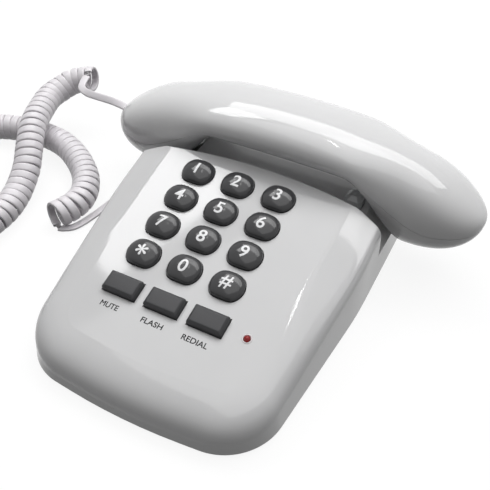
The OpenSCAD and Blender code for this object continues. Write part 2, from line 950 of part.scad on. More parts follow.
receiver_x = handset_half - 25.5;
microphone_x = 23.5 - handset_half;
microphone_d = 9.7;
microphone_h = 6.5;
boot_t = 1.6;
boot_d = microphone_d + 2 * boot_t;
boot_floor = 1;
receiver_z = 25;
microphone_z = 21;
gasket_t = 1;
weight_size = [54, 13, 6];
weight_gap = 1;
weight_z = handle_under + handset_wall + weight_gap;
handset_screw_x = 36;
handset_screw_d = 2.6;
handset_screw_seat = handle_under + handset_wall + join;
handset_screw_length = 14;
handset_boss_h = 5;
upper_boss_d = 6;
cup_rim = 3;
ledge_w = 3;
ledge_h = 3;
gasket_w = 2.5;
magnet_share = 0.6;
magnet_from = 0.5;
earpiece_ring = 5.5;
microphone_hole_d = 1.6;
microphone_hole_pitch = 4;
microphone_port_d = 3;
boot_short = 1.5;

module handset_shell() {
    difference() {
        handset_form(0, outer_form);
        handset_form(handset_wall, inner_form);
    }
}

module handset_plug_way() {
    translate([handset_jack_x, handset_y, handset_jack_z])
        plug_way(far / 4);
}

module handset_upper_shell() {
    $fn = shell_sides;
    color("whitesmoke")
    difference() {
        union() {
            handset_shell();
            intersection() {
                handset_form(handset_wall / 2, inner_form);
                for (side = [-1, 1])
                    translate([side * handset_screw_x, handset_y, handset_screw_seat + handset_boss_h])
                        cylinder(d = upper_boss_d, h = far / 4);
            }
        }
        difference() {
            translate([-far, -far, -far])
                cube([2 * far, 2 * far, 2 * far]);
            above_parting();
        }
        handset_plug_way();
        for (side = [-1, 1])
            translate([side * handset_screw_x, handset_y, handset_screw_seat])
                cylinder(d = handset_screw_d + 2 * thread_gap, h = handset_screw_length + tip_gap);
    }
}

module handset_lower_shell() {
    $fn = shell_sides;
    color("whitesmoke")
    difference() {
        union() {
            handset_shell();
            intersection() {
                handset_form(handset_wall / 2, inner_form);
                union() {
                    translate([receiver_x, handset_y, 0])
                        cylinder(d = receiver_d + 2 * seat + 2 * rim_t, h = receiver_z + cup_rim);
                    translate([microphone_x, handset_y, 0])
                        cylinder(d = boot_d + 2 * (rim_t + seat), h = microphone_z + cup_rim);
                    for (side = [-1, 1])
                        translate([side * handset_screw_x, handset_y, 0])
                            cylinder(d = boss_d, h = handset_screw_seat + handset_boss_h);
                }
            }
        }
        above_parting();
        handset_plug_way();
        translate([receiver_x, handset_y, receiver_z - gasket_t]) {
            cylinder(d = receiver_d + 2 * seat, h = far);
            translate([0, 0, -ledge_h])
                cylinder(d = receiver_d - 2 * ledge_w, h = far);
        }
        translate([microphone_x, handset_y, microphone_z])
            cylinder(d = boot_d + 2 * slip, h = far);
        for (a = [0:60:300])
            translate([receiver_x + earpiece_ring * cos(a), handset_y + earpiece_ring * sin(a), 0])
                cylinder(d = sound_d, h = receiver_z, $fn = hole_sides);
        translate([receiver_x, handset_y, 0])
            cylinder(d = sound_d, h = receiver_z, $fn = hole_sides);
        for (i = [-1:1])
            translate([microphone_x + i * microphone_hole_pitch, handset_y, 0])
                cylinder(d = microphone_hole_d, h = microphone_z + past, $fn = hole_sides);
        for (side = [-1, 1])
            translate([side * handset_screw_x, handset_y, 0]) {
                cylinder(d = handset_screw_d + 2 * shank_gap, h = far);
                cylinder(d = small_head_d + 2 * head_gap, h = handset_screw_seat);
            }
    }
}

module receiver() {
    color("dimgray")
    translate([receiver_x, handset_y, receiver_z]) {
        cylinder(d = receiver_d, h = receiver_h * magnet_from);
        cylinder(d = receiver_d * magnet_share, h = receiver_h);
    }
}

module receiver_gasket() {
    color("black")
    translate([receiver_x, handset_y, receiver_z - gasket_t])
        difference() {
            cylinder(d = receiver_d, h = gasket_t);
            translate([0, 0, -past])
                cylinder(d = receiver_d - 2 * gasket_w, h = gasket_t + 2 * past);
        }
}

module microphone() {
    color("silver")
    translate([microphone_x, handset_y, microphone_z + boot_floor])
        cylinder(d = microphone_d, h = microphone_h);
}

module microphone_boot() {
    color("black")
    translate([microphone_x, handset_y, microphone_z])
        difference() {
            cylinder(d = boot_d, h = microphone_h + boot_floor - boot_short);
            translate([0, 0, boot_floor])
                cylinder(d = microphone_d + 2 * thread_gap, h = microphone_h + past);
            translate([0, 0, -past])
                cylinder(d = microphone_port_d, h = microphone_h);
        }
}

module handset_weight() {
    color("slategray")
    translate([-weight_size.x / 2, handset_y - weight_size.y / 2, weight_z])
        cube(weight_size);
}

module handset_jack() {
    color("darkslategray")
    translate([handset_jack_x, handset_y, handset_jack_z])
        jack();
}

module handset_screws() {
    color("silver")
    for (side = [-1, 1])
        translate([side * handset_screw_x, handset_y, handset_screw_seat])
            screw(handset_screw_d, small_head_d, small_head_h, handset_screw_length);
}

module handset_plug() {
    color("lightcyan")
    translate([handset_jack_x, handset_y, handset_jack_z])
        plug();
}

// ---- Cord

coil_route = [
    [-143.8, 87.5, 31], [-155, 83.5, 28.5], [-160.5, 75, 25.8], [-162, 66, 24.6], [-159, 55.5, 24.4],
    [-154.5, 43.5, 24.2], [-149.5, 33, 22], [-144.5, 24, 18.6], [-140, 15.5, 14.6], [-137, 6.5, 11],
    [-134.5, -3, 8.6], [-132.5, -15, 8], [-134, -29, 8], [-143, -43, 8], [-158, -51, 8], [-175, -51, 8],
    [-191, -43, 8], [-202, -29, 8], [-208, -12, 8], [-209, 7, 8], [-205, 25, 8], [-196, 39, 8],
    [-184.5, 46.5, 8], [-171, 50, 8], [-157, 51, 8], [-144, 49.5, 8], [-132, 45, 8], [-120, 37.5, 8],
    [-109.5, 28, 8], [-103, 17, 8], [-102, 6.5, 8], [-106, -4.5, 8]
];
tail_w = 3.9;
tail_t = 2.4;
route_steps = 6;
tail_steps = 2;
look_ahead = 3;
coil_r = coil_d / 2 - cord_t / 2;

// A smooth curve through the points of a route
function curve_point(a, b, c, d, t) =
    0.5 * (2 * b + (c - a) * t + (2 * a - 5 * b + 4 * c - d) * t * t + (3 * b - a - 3 * c + d) * t * t * t);
function curve(pts, steps) = concat([
    for (i = [0:len(pts) - 2], k = [0:steps - 1])
        let (a = pts[max(i - 1, 0)], d = pts[min(i + 2, len(pts) - 1)])
        curve_point(a, pts[i], pts[i + 1], d, k / steps)
], [pts[len(pts) - 1]]);

// Pairs of the distance along a curve and the point there
function measured(pts) = [
    for (i = 0, s = 0; i < len(pts); s = s + (i + 1 < len(pts) ? norm(pts[i + 1] - pts[i]) : 0), i = i + 1)
        [s, pts[i]]
];

coil_axis = measured(curve(coil_route, route_steps));
coil_axis_x = [for (e = coil_axis) [e[0], e[1].x]];
coil_axis_y = [for (e = coil_axis) [e[0], e[1].y]];
coil_axis_z = [for (e = coil_axis) [e[0], e[1].z]];
coil_length = coil_axis[len(coil_axis) - 1][0];
turn_steps = 8;
start_angle = 70;
end_angle = 270;
coil_turns = curls - 1 + (end_angle - start_angle) / 360;
coil_rings = round(coil_turns * turn_steps);

function axis_at(s) = [lookup(s, coil_axis_x), lookup(s, coil_axis_y), lookup(s, coil_axis_z)];
function axis_way(s) = unit(axis_at(min(s + look_ahead, coil_length)) - axis_at(max(s - look_ahead, 0)));

// The curl's frame at the share t of the coil: centre, axis, outwards and along the cord
function curl_frame(t) =
    let (s = t * coil_length, way = axis_way(s))
    let (side = unit(cross([0, 0, 1], way)), rise = cross(way, side))
    let (a = start_angle + 360 * coil_turns * t)
    [axis_at(s), way, cos(a) * side + sin(a) * rise, -sin(a) * side + cos(a) * rise];
function curl_centre(f) = f[0] + coil_r * f[2];
function curl_ring(f, ahead) = [
    for (a = [0:60:300])
        curl_centre(f) + ahead * f[3] + cord_w / 2 * cos(a) * f[1] + cord_t / 2 * sin(a) * f[2]
];
curl_frames = [for (i = [0:coil_rings]) curl_frame(i / coil_rings)];
curl_rings = concat(
    [curl_ring(curl_frames[0], -tail_w)],
    [for (f = curl_frames) curl_ring(f, 0)],
    [curl_ring(curl_frames[coil_rings], tail_w)]
);

// The least gap between neighbouring curls, over all their points, and between runs that cross
curl_gap = min([
    for (i = [0:coil_rings - turn_steps - 1], j = [turn_steps - 1:turn_steps + 1])
        if (i + j <= coil_rings)
            for (p = curl_rings[i + 1], q = curl_rings[i + j + 1]) norm(p - q)
]);
run_gap = min([
    for (i = [0:2:len(coil_axis) - 1], j = [i:2:len(coil_axis) - 1])
        if (coil_axis[j][0] - coil_axis[i][0] > 4 * coil_d) norm(coil_axis[i][1] - coil_axis[j][1])
]) - coil_d;

// A flat cord along a route, its broad side level
function flat_ring(at, way) =
    let (side = unit(cross([0, 0, 1], way)), rise = cross(way, side))
    [for (a = [22.5:45:360]) at + tail_w / 2 * cos(a) * side + tail_t / 2 * sin(a) * rise];
module flat_cord(route, way_in, way_out) {
    pts = curve(route, tail_steps);
    last = len(pts) - 1;
    skin([
        for (i = [0:last])
            flat_ring(pts[i], i == 0 ? way_in : i == last ? way_out : unit(pts[i + 1] - pts[i - 1]))
    ]);
}

coil_start = curl_centre(curl_frames[0]) - tail_w * curl_frames[0][3];
coil_start_way = curl_frames[0][3];
coil_end = curl_centre(curl_frames[coil_rings]) + tail_w * curl_frames[coil_rings][3];
coil_end_way = curl_frames[coil_rings][3];
handset_exit = [handset_jack_x - plug_proud, handset_y, handset_jack_z + latch.z / 2];
base_exit = [base_jack_x - plug_proud, base_jack_y, base_jack_z + latch.z / 2];
handset_route = [
    [-104, 64.8, 36.5], [-113, 66.2, 36.5], [-123, 66.4, 36.4], [-132, 67, 36.2], [-138.5, 70.5, 36],
    [-141.6, 76.3, 35.8]
];
base_route = [
    [-97, -2.6, 1.4], [-94.5, 3, 1.4], [-93, 9, 1.4], [-91, 15, 2.2], [-88, 20.5, 4.6], [-84, 25, 7.8],
    [-79.5, 27, 9.8]
];

module cord_coil() {
    color("gainsboro")
    skin(curl_rings);
}

module cord_handset_end() {
    color("gainsboro")
    flat_cord(concat([handset_exit], handset_route, [coil_start]), [-1, 0, 0], coil_start_way);
}

module cord_base_end() {
    color("gainsboro")
    flat_cord(concat([coil_end], base_route, [base_exit]), coil_end_way, [1, 0, 0]);
}

union() {  // cord_coil
    echo(curl_gap = curl_gap, run_gap = run_gap, coil_length = coil_length);
    echo(coil_start = coil_start, coil_end = coil_end, handset_exit = handset_exit, base_exit = base_exit);
}

base_top_shell();
base_bottom_shell();
key_1();
key_2();
key_3();
key_4();
key_5();
key_6();
key_7();
key_8();
key_9();
key_star();
key_0();
key_hash();
key_mute();
key_flash();
key_redial();
key_membrane();
main_board();
dialler_chip();
board_components();
board_screws();
ring_lamp();
hook_plunger();
hook_spring();
hook_switch();
hook_board();
hook_board_screws();
ringer();
line_jack();
base_handset_jack();
base_screws();
rubber_feet();
handset_upper_shell();
handset_lower_shell();
receiver();
receiver_gasket();
microphone();
microphone_boot();
handset_weight();
handset_jack();
handset_screws();
handset_plug();
base_plug();
cord_handset_end();
cord_coil();
cord_base_end();
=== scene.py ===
# Corded desk telephone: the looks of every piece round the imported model.
# Shapes are worked out in millimetres in the model's own frame and scaled when a piece is made.
import math

import bmesh
import bpy
from mathutils import Matrix, Vector

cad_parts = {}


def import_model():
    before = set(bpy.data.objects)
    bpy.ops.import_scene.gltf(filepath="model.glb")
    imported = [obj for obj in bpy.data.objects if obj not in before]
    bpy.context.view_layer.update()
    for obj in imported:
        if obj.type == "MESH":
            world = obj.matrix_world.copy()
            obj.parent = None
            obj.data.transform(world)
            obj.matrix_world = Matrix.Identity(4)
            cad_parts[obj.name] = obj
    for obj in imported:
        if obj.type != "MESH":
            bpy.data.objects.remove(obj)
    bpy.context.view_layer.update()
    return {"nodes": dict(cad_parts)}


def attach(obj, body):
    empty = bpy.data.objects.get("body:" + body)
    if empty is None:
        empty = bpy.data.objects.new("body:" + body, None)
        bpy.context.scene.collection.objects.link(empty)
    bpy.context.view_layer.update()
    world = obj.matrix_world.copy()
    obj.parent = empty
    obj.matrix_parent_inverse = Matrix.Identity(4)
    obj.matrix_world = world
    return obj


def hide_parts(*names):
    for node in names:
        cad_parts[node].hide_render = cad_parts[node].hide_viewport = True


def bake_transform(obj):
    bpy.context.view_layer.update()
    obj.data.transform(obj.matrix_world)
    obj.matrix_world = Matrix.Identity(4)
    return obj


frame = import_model()
MM = 0.001
NODES = frame["nodes"]
UP = Vector((0, 0, 1))


# ---- Camera

camera = bpy.data.objects.new("camera", bpy.data.cameras.new("camera"))
bpy.context.scene.collection.objects.link(camera)
camera_place = Vector((112.75, -204.87, 261.64))
camera_right = Vector((0.8881, 0.4596, 0.0))
camera_ahead = Vector((-0.3263, 0.6306, -0.7041))
camera_up = camera_right.cross(camera_ahead)
camera.matrix_world = Matrix.Translation(camera_place * MM) @ Matrix(
    (camera_right, camera_up, -camera_ahead)).transposed().to_4x4()
camera.data.lens = 51.43
camera.data.clip_start = 0.01
bpy.context.scene.camera = camera
bpy.context.scene.view_settings.view_transform = "Standard"


# ---- Sizes, in millimetres

# Two clearances, and a length that reaches past everything
seat, slip, far = 0.3, 0.15, 200

# Base and deck
base_w, base_front_w, base_d, base_x = 136, 119, 177, -6
front_corner_r, side_r, rear_corner_r, side_turn_y = 28, 250, 12, 10
base_wall, shell_foot, inner_foot = 2.4, 2, -2
deck_h, deck_slope = 35.2, math.radians(12.1)
bevel_w, bevel_drop, roll_w, rear_roll_w = 18, 5.6, 18, rear_corner_r - base_wall - 1
side_roll_from, side_roll_over, narrow_before, narrow_over = -46, 52, 8, 22

# Cradle: a bridge between two wells, which reach from well_in to well_out on both sides
cradle_y, cradle_r, cradle_straight = 42.5, 283, 75
bridge_h, bridge_half, well_in, well_out, cradle_half = 33, 49, 60, 78, 110
rear_rim, rear_rim_h, rear_edge_r = 2.5, 36.5, 1.0

# Keys, numerals and printed words, measured on the deck from the middle of the digit keys
keypad_x, keypad_y, key_pitch_x, key_pitch_y = -11.5, 1.5, 22, 17.6
key_w, key_d, key_h, key_gap = 16.6, 13.8, 4.4, 0.35
crown_drop, crown_edge_drop = 2.1, 0.5
flange_lip, flange_top, flange_under = 1.0, -2.7, -3.9
fkey_w, fkey_d, fkey_h, fkey_corner_r, fkey_v, fkey_shift = 17, 9.8, 3.4, 0.75, 45.3, 0.8
numeral_h, numeral_bold, numeral_raised, numeral_sunk, numeral_grid = 6.6, 0.12, 0.07, 0.05, 0.8
legend_h, legend_t, legend_v = 2.7, 0.03, -56

# Lamp, plunger and the base's two socket holes
lamp_d, lamp_place = 3, (41.6, -45.8)
lens_r, lens_flange_r, lens_flange_top, lens_flange_under = 1.45, 1.9, -3.4, -4.4
lamp_rim_r, lamp_rim_t = 2.05, 0.28
plunger_x, plunger_y, plunger_w, plunger_corner, plunger_foot = 41, 52, 9, 1.9, 24.3
plunger_hole_low, plunger_hole_high = 29, 37
collar_lip, collar_t, arm_l, arm_w, prod_x, prod_w, prod_low = 1.6, 2, 19, 5, -17, 3, 19.1
stem_d, stem_l = 5, 5
line_hole_x, line_hole_w, line_hole_d, line_hole_low, line_hole_high = 26, 9.8, 9.6, 6.9, 13.7
cord_hole_x, cord_hole_y, cord_hole_w, cord_hole_d = -72.8, 27.144, 10, 8.2
cord_hole_low, cord_hole_high = 6.05, 13.15

# Handset. What ends in _from and _over says where along the half length a change begins and how far it takes.
handset_l, handset_w, handset_top, handset_wall, handset_y = 205, 44.6, 68.4, 2.2, 63.5
handset_half = handset_l / 2
back_fall, back_power, side_fall, section_power = 22.5, 2.3, 0.6, 2.35
handle_under, handle_taper, cup_depth, cup_from, cup_over = 45.6, 0.22, 28.5, 0.34, 0.33
nose_z, nose_pull, nose_power, nose_from, nose_over = 37.5, 0.8, 2.4, 0.66, 0.34
parting_gap, parting_rise, parting_end_z, parting_from, parting_over = 0.22, 9, 34, 0.3, 0.5
handset_jack_z, plug_hole_l, plug_hole_w, plug_hole_h = 36, 20, 8.2, 7.1
receiver_x, sound_d, sound_ring = 77, 2, 5.5
microphone_x, microphone_hole_d, microphone_pitch = -79, 1.6, 4
screw_x, screw_hole_d = 36, 5.6


def smooth(t):
    t = min(1, max(0, t))
    return t * t * (3 - 2 * t)


def mix(a, b, t):
    return a + (b - a) * t


def deck_z(y):
    return deck_h + y * math.tan(deck_slope)


DECK = Matrix.Translation((keypad_x, keypad_y, deck_z(keypad_y))) @ Matrix.Rotation(deck_slope, 4, "X")


def on_deck(place):
    """Moves something drawn round its own middle to a place on the deck."""
    return DECK @ Matrix.Translation((*place, 0))


# ---- Making pieces

def hold(name, bm, material, body, stands_for=(), sharp=40):
    """Turns a bmesh in millimetres into a finished piece, which rides on a body where one is given."""
    bmesh.ops.scale(bm, vec=(MM, MM, MM), verts=bm.verts)
    mesh = bpy.data.meshes.new(name)
    bm.to_mesh(mesh)
    bm.free()
    piece = bpy.data.objects.new(name, mesh)
    bpy.context.scene.collection.objects.link(piece)
    shade(piece, sharp)
    piece.data.materials.append(material)
    if body:
        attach(piece, body)
    if stands_for:
        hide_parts(*stands_for)
    return piece


def shade(piece, sharp):
    """Smooth faces, with creases kept where faces meet at more than the sharp angle."""
    bm = bmesh.new()
    bm.from_mesh(piece.data)
    for face in bm.faces:
        face.smooth = True
    limit = math.radians(sharp)
    for edge in bm.edges:
        edge.smooth = len(edge.link_faces) == 2 and edge.calc_face_angle(0) < limit
    bm.to_mesh(piece.data)
    bm.free()


def skin(rings, closed=True):
    """A surface through rows of points. When closed, each row meets its own start and the ends are capped."""
    rows, count = len(rings), len(rings[0])
    across = count if closed else count - 1
    bm = bmesh.new()
    bmesh.ops.create_grid(bm, x_segments=rows - 1, y_segments=across, size=1)
    for v in bm.verts:
        i = round((v.co.x + 1) / 2 * (rows - 1))
        j = round((v.co.y + 1) / 2 * across)
        v.co = rings[i][j % count]
    bmesh.ops.remove_doubles(bm, verts=bm.verts, dist=1e-4)
    bmesh.ops.dissolve_degenerate(bm, edges=bm.edges, dist=1e-4)
    rims = [e for e in bm.edges if len(e.link_faces) == 1]
    if closed and rims:
        bmesh.ops.holes_fill(bm, edges=rims, sides=0)
    bmesh.ops.recalc_face_normals(bm, faces=bm.faces)
    return bm


def moved(bm, matrix):
    bmesh.ops.transform(bm, matrix=matrix, verts=bm.verts)
    return bm


def prism(outline, low, high):
    """A solid with a flat outline between two heights."""
    return skin([[Vector((x, y, z)) for x, y in outline] for z in (low, high)])


def joined(parts):
    """Several bmeshes as one."""
    mesh = bpy.data.meshes.new("joined")
    bm = bmesh.new()
    for part in parts:
        part.to_mesh(mesh)
        part.free()
        bm.from_mesh(mesh)
    bpy.data.meshes.remove(mesh)
    return bm


def cut(bm, tool, operation="DIFFERENCE"):
    """bm after an exact boolean with tool."""
    objects = []
    for source in (bm, tool):
        mesh = bpy.data.meshes.new("cut")
        source.to_mesh(mesh)
        source.free()
        objects.append(bpy.data.objects.new("cut", mesh))
        bpy.context.scene.collection.objects.link(objects[-1])
    change = objects[0].modifiers.new("cut", "BOOLEAN")
    change.object = objects[1]
    change.solver = "EXACT"
    change.operation = operation
    graph = bpy.context.evaluated_depsgraph_get()
    made = bmesh.new()
    made.from_object(objects[0], graph)
    for o in objects:
        mesh = o.data
        bpy.data.objects.remove(o)
        bpy.data.meshes.remove(mesh)
    return made


def circle(radius, sides, centre=(0, 0)):
    return [(centre[0] + radius * math.cos(math.tau * i / sides),
             centre[1] + radius * math.sin(math.tau * i / sides)) for i in range(sides)]


CORNERS = ((-1, -1), (1, -1), (1, 1), (-1, 1))


def rectangle(width, depth, centre=(0, 0)):
    return [(centre[0] + sx * width / 2, centre[1] + sy * depth / 2) for sx, sy in CORNERS]


# ---- Materials

def surface_group():
    """Fine grain, faint smudges and slow colour drift that every moulded or painted face has."""
    group = bpy.data.node_groups.new("surface_grain", "ShaderNodeTree")
    sockets = (("Colour", "NodeSocketColor"), ("Worn Colour", "NodeSocketColor"),
               ("Roughness", "NodeSocketFloat"), ("Smudge", "NodeSocketFloat"),
               ("Grain Scale", "NodeSocketFloat"), ("Grain Height", "NodeSocketFloat"),
               ("Drift Scale", "NodeSocketFloat"))
    for name, kind in sockets:
        group.interface.new_socket(name, in_out="INPUT", socket_type=kind)
    for name, kind in (("Colour", "NodeSocketColor"), ("Roughness", "NodeSocketFloat"),
                       ("Normal", "NodeSocketVector")):
        group.interface.new_socket(name, in_out="OUTPUT", socket_type=kind)
    nodes, links = group.nodes, group.links
    given, made = nodes.new("NodeGroupInput"), nodes.new("NodeGroupOutput")
    place = nodes.new("ShaderNodeTexCoord").outputs["Object"]

    def noise(scale, detail):
        n = nodes.new("ShaderNodeTexNoise")
        links.new(place, n.inputs["Vector"])
        links.new(scale, n.inputs["Scale"])
        n.inputs["Detail"].default_value = detail
        return n.outputs["Fac"]

    drift = noise(given.outputs["Drift Scale"], 4)
    grain = noise(given.outputs["Grain Scale"], 2)
    tint = nodes.new("ShaderNodeMix")
    tint.data_type = "RGBA"
    links.new(drift, tint.inputs[0])
    links.new(given.outputs["Colour"], tint.inputs[6])
    links.new(given.outputs["Worn Colour"], tint.inputs[7])
    links.new(tint.outputs[2], made.inputs["Colour"])
    spread = nodes.new("ShaderNodeMath")
    spread.operation = "MULTIPLY_ADD"
    links.new(drift, spread.inputs[0])
    links.new(given.outputs["Smudge"], spread.inputs[1])
    links.new(given.outputs["Roughness"], spread.inputs[2])
    links.new(spread.outputs[0], made.inputs["Roughness"])
    bump = nodes.new("ShaderNodeBump")
    bump.inputs["Distance"].default_value = MM
    links.new(grain, bump.inputs["Height"])
    links.new(given.outputs["Grain Height"], bump.inputs["Strength"])
    links.new(bump.outputs["Normal"], made.inputs["Normal"])
    return group


GRAIN = surface_group()


def finish(name, colour, worn=None, rough=0.3, smudge=0.06, grain=900, height=0.02, drift=35, **shader):
    """A material from the grain group, with anything constant set on the shader itself."""
    material = bpy.data.materials.new(name)
    material.use_nodes = True
    nodes, links = material.node_tree.nodes, material.node_tree.links
    principled = nodes["Principled BSDF"]
    group = nodes.new("ShaderNodeGroup")
    group.node_tree = GRAIN
    worn = worn or tuple(c * 0.94 for c in colour)
    given = {"Colour": (*colour, 1), "Worn Colour": (*worn, 1), "Roughness": rough, "Smudge": smudge,
             "Grain Scale": grain, "Grain Height": height, "Drift Scale": drift}
    for socket, value in given.items():
        group.inputs[socket].default_value = value
    for socket, fed in (("Colour", "Base Color"), ("Roughness", "Roughness"), ("Normal", "Normal")):
        links.new(group.outputs[socket], principled.inputs[fed])
    for key, value in shader.items():
        principled.inputs[key.replace("_", " ")].default_value = value
    return material


shell_white = finish("gloss_white_shell", (0.68, 0.68, 0.685), rough=0.04, smudge=0.04, height=0.004)
handset_white = finish("gloss_white_handset", (0.76, 0.76, 0.765), rough=0.04, smudge=0.04, height=0.004)
tray_white = finish("matt_white_tray", (0.62, 0.62, 0.63), rough=0.45, smudge=0.1, grain=2600, height=0.12)
key_grey = finish("gloss_grey_key", (0.052, 0.052, 0.055), rough=0.07, smudge=0.06, height=0.006,
                  Specular_IOR_Level=0.36)
function_grey = finish("satin_grey_key", (0.044, 0.044, 0.047), rough=0.34, smudge=0.12, grain=2400,
                       height=0.05, Specular_IOR_Level=0.3)
numeral_white = finish("numeral_ink", (0.86, 0.86, 0.87), rough=0.35, smudge=0.1)
legend_ink = finish("legend_ink", (0.012, 0.012, 0.013), rough=0.5, smudge=0.1, Specular_IOR_Level=0.2)
cord_grey = finish("cord_jacket", (0.84, 0.815, 0.84), (0.76, 0.73, 0.76), rough=0.3, smudge=0.12,
                   grain=1500, height=0.03, drift=60)
rubber_black = finish("black_rubber", (0.03, 0.03, 0.03), rough=0.7, smudge=0.2, grain=1800, height=0.1)
mat_rubber = finish("key_mat_rubber", (0.32, 0.36, 0.40), rough=0.6, smudge=0.1, grain=1800, height=0.06)
board_green = finish("circuit_board", (0.03, 0.16, 0.06), (0.05, 0.22, 0.09), rough=0.35, smudge=0.1,
                     drift=180)
plastic_black = finish("black_moulding", (0.025, 0.025, 0.027), rough=0.42, smudge=0.1, grain=2000,
                       height=0.06)
can_grey = finish("part_cans", (0.08, 0.09, 0.15), rough=0.3, smudge=0.1, drift=120)
zinc = finish("zinc_steel", (0.62, 0.62, 0.60), rough=0.24, smudge=0.16, drift=220, Metallic=1.0)
nickel = finish("microphone_can", (0.68, 0.68, 0.68), rough=0.2, smudge=0.12, drift=160, Metallic=1.0)
bar_steel = finish("cut_steel", (0.40, 0.40, 0.41), rough=0.38, smudge=0.2, drift=140, Metallic=1.0)
brass = finish("brass_disc", (0.72, 0.53, 0.22), rough=0.28, smudge=0.15, drift=120, Metallic=1.0)
clear = finish("clear_moulding", (0.93, 0.95, 0.96), rough=0.03, smudge=0.04, Transmission_Weight=1.0,
               IOR=1.55)
plunger_clear = finish("clear_plunger", (0.92, 0.93, 0.94), rough=0.04, smudge=0.04,
                       Transmission_Weight=0.35, IOR=1.5)
# The lens is dark red and not lit; its faint red emission is a painted glow.
lamp_red_painted_glow = finish("red_lamp", (0.26, 0.001, 0.001), (0.20, 0.001, 0.001), rough=0.06, smudge=0.05,
                  Specular_IOR_Level=0.3, Emission_Color=(1.0, 0.02, 0.02, 1), Emission_Strength=0.05)
# The rim round the lamp is a real rolled edge; its pale, pinkish colour, lighter than the shell, is a painted
# glint.
rim_painted_glint = finish("lamp_rim", (0.84, 0.80, 0.80), rough=0.2, smudge=0.05)

CARRIED = {
    tray_white: ["base_bottom_shell"],
    mat_rubber: ["key_membrane"],
    board_green: ["main_board", "hook_board"],
    plastic_black: ["dialler_chip", "hook_switch", "line_jack", "base_handset_jack", "handset_jack",
                    "receiver"],
    can_grey: ["board_components"],
    zinc: ["board_screws", "hook_spring", "hook_board_screws", "base_screws", "handset_screws"],
    rubber_black: ["rubber_feet", "receiver_gasket", "microphone_boot"],
    nickel: ["microphone"],
    bar_steel: ["handset_weight"],
    brass: ["ringer"],
    clear: ["handset_plug", "base_plug"],
}
for material, names in CARRIED.items():
    for name in names:
        NODES[name].data.materials.clear()
        NODES[name].data.materials.append(material)


# ---- Cord

coil_route = [
    (-143.8, 87.5, 31), (-155, 83.5, 28.5), (-160.5, 75, 25.8), (-162, 66, 24.6), (-159, 55.5, 24.4),
    (-154.5, 43.5, 24.2), (-149.5, 33, 22), (-144.5, 24, 18.6), (-140, 15.5, 14.6), (-137, 6.5, 11),
    (-134.5, -3, 8.6), (-132.5, -15, 8), (-134, -29, 8), (-143, -43, 8), (-158, -51, 8), (-175, -51, 8),
    (-191, -43, 8), (-202, -29, 8), (-208, -12, 8), (-209, 7, 8), (-205, 25, 8), (-196, 39, 8),
    (-184.5, 46.5, 8), (-171, 50, 8), (-157, 51, 8), (-144, 49.5, 8), (-132, 45, 8), (-120, 37.5, 8),
    (-109.5, 28, 8), (-103, 17, 8), (-102, 6.5, 8), (-106, -4.5, 8),
]
handset_route = [(-98, handset_y, 36.45), (-104, 64.8, 36.5), (-113, 66.2, 36.5), (-123, 66.4, 36.4),
                 (-132, 67, 36.2), (-138.5, 70.5, 36), (-141.6, 76.3, 35.8)]
base_route = [(-97, -2.6, 1.4), (-94.5, 3, 1.4), (-93, 9, 1.4), (-91, 15, 2.2), (-88, 20.5, 4.6),
              (-84, 25, 7.8), (-79.5, 27, 9.8), (-71.8, cord_hole_y, 10.05)]
coil_d, curls, band_w, band_t, tail = 15.4, 88, 4.4, 1.6, 3.9
curl_r = coil_d / 2 - band_t / 2
start_turn, coil_turns = 70, curls - 1 + 200 / 360
route_steps, curl_steps, band_sides = 6, 20, 12
socket_lean, lean_over = Vector((0.46, -0.9, 0)), 12


def between(a, b, c, d, t):
    """The point at a share of the way from b to c, on a smooth line that also passes through a and d."""
    return 0.5 * (2 * b + (c - a) * t + (2 * a - 5 * b + 4 * c - d) * t * t
                  + (3 * b - a - 3 * c + d) * t * t * t)


def neighbours(points, i):
    """Four points in a row, of which the second is point i, with the ends repeated."""
    return (Vector(points[min(max(i + k, 0), len(points) - 1)]) for k in (-1, 0, 1, 2))


def curve(points, steps=route_steps):
    """A smooth line through points."""
    line = [between(*neighbours(points, i), k / steps) for i in range(len(points) - 1) for k in range(steps)]
    return line + [Vector(points[-1])]


def walk(line):
    """A function that gives the point at a distance along a line, and the line's length."""
    reached = [0.0]
    for p, q in zip(line, line[1:]):
        reached.append(reached[-1] + (q - p).length)

    def at(s):
        s = min(max(s, 0), reached[-1])
        low, high = 0, len(reached) - 1
        while high - low > 1:
            middle = (low + high) // 2
            low, high = (middle, high) if reached[middle] <= s else (low, middle)
        return line[low].lerp(line[high], (s - reached[low]) / max(1e-9, reached[high] - reached[low]))
    return at, reached[-1]


axis_at, coil_length = walk(curve(coil_route))


def curl_point(t):
    """The cord's middle at a share of the coil, the way that its broad side lies, and the way it runs."""
    s, reach = t * coil_length, 3
    way = (axis_at(s + reach) - axis_at(s - reach)).normalized()
    side = UP.cross(way).normalized()
    rise = way.cross(side)
    turn = math.radians(start_turn + 360 * coil_turns * t)
    out = math.cos(turn) * side + math.sin(turn) * rise
    along = -math.sin(turn) * side + math.cos(turn) * rise
    return axis_at(s) + curl_r * out, way, along


coil_start, _, start_along = curl_point(0)
coil_end, _, end_along = curl_point(1)
route_in = curve(handset_route + [coil_start - tail * start_along])
route_out = curve([coil_end + tail * end_along] + base_route)
coil_steps = round(coil_turns * curl_steps)
cord_line = [(p, None) for p in route_in]
cord_line += [curl_point(i / coil_steps)[:2] for i in range(coil_steps + 1)]
cord_line += [(p, None) for p in route_out]
cord_path = [p for p, _ in cord_line]


def cord_ways():
    """At each point of the cord, the way ahead and the way that the band's broad side lies."""
    ways = []
    for i, (p, way) in enumerate(cord_line):
        ahead = (cord_path[min(i + 1, len(cord_path) - 1)] - cord_path[max(i - 1, 0)]).normalized()
        if way is None and i < coil_steps / 2:
            lean = min(1, (p - cord_path[0]).length / lean_over)
            way = -(UP + lean * socket_lean).cross(ahead)
        elif way is None:
            way = UP.cross(ahead)
        ways.append((ahead, (way - way.dot(ahead) * ahead).normalized()))
    return ways


